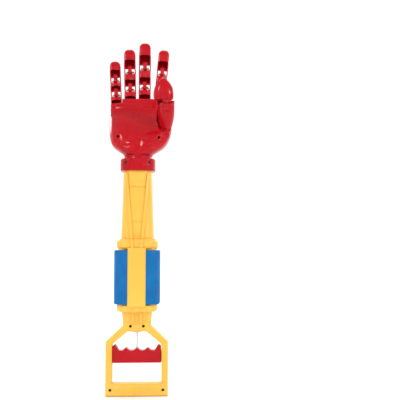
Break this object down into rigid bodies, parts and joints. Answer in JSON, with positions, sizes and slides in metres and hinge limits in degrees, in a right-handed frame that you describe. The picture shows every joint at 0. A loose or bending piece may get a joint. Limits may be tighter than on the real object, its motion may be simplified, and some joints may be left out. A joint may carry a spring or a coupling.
{
  "type": "toy grabber hand",
  "caption": "Toy robot-hand grabber: D-handle with a sliding finger trigger, tapered forearm with foam side grips, and a hand whose hollow jointed fingers and thumb curl on cords.",
  "frame": {"origin": "centre of the underside of the handle's crossbar", "axes": "+Z along the forearm towards the fingertips, -Y out of the palm, +X towards the thumb"},
  "size_m": [0.0839, 0.0847, 0.4432],
  "materials": {
    "red_plastic": "glossy moulded",
    "yellow_plastic": "semi-gloss moulded",
    "blue_foam": "matte foam rubber",
    "steel": "zinc plated",
    "dark_steel": "blackened",
    "nylon_cord": "braided",
    "inner_plastic": "natural moulded",
    "label_film": "blank film label"
  },
  "bodies": {
    "root": {"front_housing": "yellow_plastic", "rear_housing": "yellow_plastic", "left_grip": "blue_foam", "right_grip": "blue_foam", "label_plate": "label_film", "housing_screws": "dark_steel", "collar_screws": "dark_steel", "cord_bush": "inner_plastic", "spring_seat": "inner_plastic", "wrist_collar": "red_plastic", "palm_shell": "red_plastic", "hand_back_shell": "red_plastic", "palm_screws": "dark_steel", "knuckle_bracket": "red_plastic", "knuckle_pins": "red_plastic", "tendon_guide": "inner_plastic", "thumb_fork": "red_plastic", "thumb_root_pin": "red_plastic"},
    "trigger": {"trigger_bar": "red_plastic", "pull_cord": "nylon_cord", "cord_knot": "nylon_cord", "tendon_yoke": "inner_plastic", "finger_tendons": "nylon_cord", "return_spring": "steel"},
    "thumb_base": {"thumb_lower": "red_plastic"},
    "thumb_end": {"thumb_tip": "red_plastic", "thumb_tip_pin": "red_plastic"},
    "index_proximal_body": {"index_proximal": "red_plastic"},
    "index_middle_body": {"index_middle": "red_plastic", "index_middle_pin": "red_plastic"},
    "index_distal_body": {"index_distal": "red_plastic", "index_distal_pin": "red_plastic"},
    "middle_proximal_body": {"middle_proximal": "red_plastic"},
    "middle_middle_body": {"middle_middle": "red_plastic", "middle_middle_pin": "red_plastic"},
    "middle_distal_body": {"middle_distal": "red_plastic", "middle_distal_pin": "red_plastic"},
    "ring_proximal_body": {"ring_proximal": "red_plastic"},
    "ring_middle_body": {"ring_middle": "red_plastic", "ring_middle_pin": "red_plastic"},
    "ring_distal_body": {"ring_distal": "red_plastic", "ring_distal_pin": "red_plastic"},
    "little_proximal_body": {"little_proximal": "red_plastic"},
    "little_middle_body": {"little_middle": "red_plastic", "little_middle_pin": "red_plastic"},
    "little_distal_body": {"little_distal": "red_plastic", "little_distal_pin": "red_plastic"}
  },
  "joints": [
    {"name": "trigger_slide", "type": "slide", "parent": "root", "child": "trigger", "axis": [0, 0, -1], "range_m": [0, 0.018], "stiffness_N_per_m": 220, "springref_m": -0.012, "deforming": ["return_spring"]},
    {"name": "index_proximal_hinge", "type": "hinge", "parent": "root", "child": "index_proximal_body", "pos_m": [0.0244, 0.0385, 0.3567], "axis": [0.9962, 0, -0.0872], "range_deg": [0, 22.5]},
    {"name": "index_middle_hinge", "type": "hinge", "parent": "index_proximal_body", "child": "index_middle_body", "pos_m": [0.02669, 0.0408, 0.3829], "axis": [0.9962, 0, -0.0872], "range_deg": [0, 80.5]},
    {"name": "index_distal_hinge", "type": "hinge", "parent": "index_middle_body", "child": "index_distal_body", "pos_m": [0.0288, 0.04292, 0.40701], "axis": [0.9962, 0, -0.0872], "range_deg": [0, 52.5]},
    {"name": "middle_proximal_hinge", "type": "hinge", "parent": "root", "child": "middle_proximal_body", "pos_m": [0.006, 0.0385, 0.3587], "axis": [1, 0, 0], "range_deg": [0, 22.5]},
    {"name": "middle_middle_hinge", "type": "hinge", "parent": "middle_proximal_body", "child": "middle_middle_body", "pos_m": [0.006, 0.04107, 0.3881], "axis": [1, 0, 0], "range_deg": [0, 80.5]},
    {"name": "middle_distal_hinge", "type": "hinge", "parent": "middle_middle_body", "child": "middle_distal_body", "pos_m": [0.006, 0.04336, 0.4142], "axis": [1, 0, 0], "range_deg": [0, 52.5]},
    {"name": "ring_proximal_hinge", "type": "hinge", "parent": "root", "child": "ring_proximal_body", "pos_m": [-0.012, 0.0385, 0.3568], "axis": [0.9996, 0, 0.0279], "range_deg": [0, 22.5]},
    {"name": "ring_middle_hinge", "type": "hinge", "parent": "ring_proximal_body", "child": "ring_middle_body", "pos_m": [-0.0128, 0.04102, 0.38559], "axis": [0.9996, 0, 0.0279], "range_deg": [0, 80.5]},
    {"name": "ring_distal_hinge", "type": "hinge", "parent": "ring_middle_body", "child": "ring_distal_body", "pos_m": [-0.01346, 0.04308, 0.40918], "axis": [0.9996, 0, 0.0279], "range_deg": [0, 52.5]},
    {"name": "little_proximal_hinge", "type": "hinge", "parent": "root", "child": "little_proximal_body", "pos_m": [-0.0296, 0.0385, 0.3537], "axis": [0.9986, 0, 0.0523], "range_deg": [0, 22.5]},
    {"name": "little_middle_hinge", "type": "hinge", "parent": "little_proximal_body", "child": "little_middle_body", "pos_m": [-0.03089, 0.04066, 0.37837], "axis": [0.9986, 0, 0.0523], "range_deg": [0, 80.5]},
    {"name": "little_distal_hinge", "type": "hinge", "parent": "little_middle_body", "child": "little_distal_body", "pos_m": [-0.03188, 0.04231, 0.39714], "axis": [0.9986, 0, 0.0523], "range_deg": [0, 52.5]},
    {"name": "thumb_root_hinge", "type": "hinge", "parent": "root", "child": "thumb_base", "pos_m": [0.0335, 0.004, 0.321], "axis": [0, -1, 0], "range_deg": [0, 16.5]},
    {"name": "thumb_tip_hinge", "type": "hinge", "parent": "thumb_base", "child": "thumb_end", "pos_m": [0.035, -0.0255, 0.3526], "axis": [0, -1, 0], "range_deg": [0, 21.5]}
  ],
  "couplings": [
    {"joint": "index_proximal_hinge", "follows": "trigger_slide", "rad_per_m": 21.332},
    {"joint": "index_middle_hinge", "follows": "trigger_slide", "rad_per_m": 77.57},
    {"joint": "index_distal_hinge", "follows": "trigger_slide", "rad_per_m": 50.421},
    {"joint": "middle_proximal_hinge", "follows": "trigger_slide", "rad_per_m": 21.332},
    {"joint": "middle_middle_hinge", "follows": "trigger_slide", "rad_per_m": 77.57},
    {"joint": "middle_distal_hinge", "follows": "trigger_slide", "rad_per_m": 50.421},
    {"joint": "ring_proximal_hinge", "follows": "trigger_slide", "rad_per_m": 21.332},
    {"joint": "ring_middle_hinge", "follows": "trigger_slide", "rad_per_m": 77.57},
    {"joint": "ring_distal_hinge", "follows": "trigger_slide", "rad_per_m": 50.421},
    {"joint": "little_proximal_hinge", "follows": "trigger_slide", "rad_per_m": 21.332},
    {"joint": "little_middle_hinge", "follows": "trigger_slide", "rad_per_m": 77.57},
    {"joint": "little_distal_hinge", "follows": "trigger_slide", "rad_per_m": 50.421},
    {"joint": "thumb_root_hinge", "follows": "trigger_slide", "rad_per_m": 15.514},
    {"joint": "thumb_tip_hinge", "follows": "trigger_slide", "rad_per_m": 20.362}
  ]
}
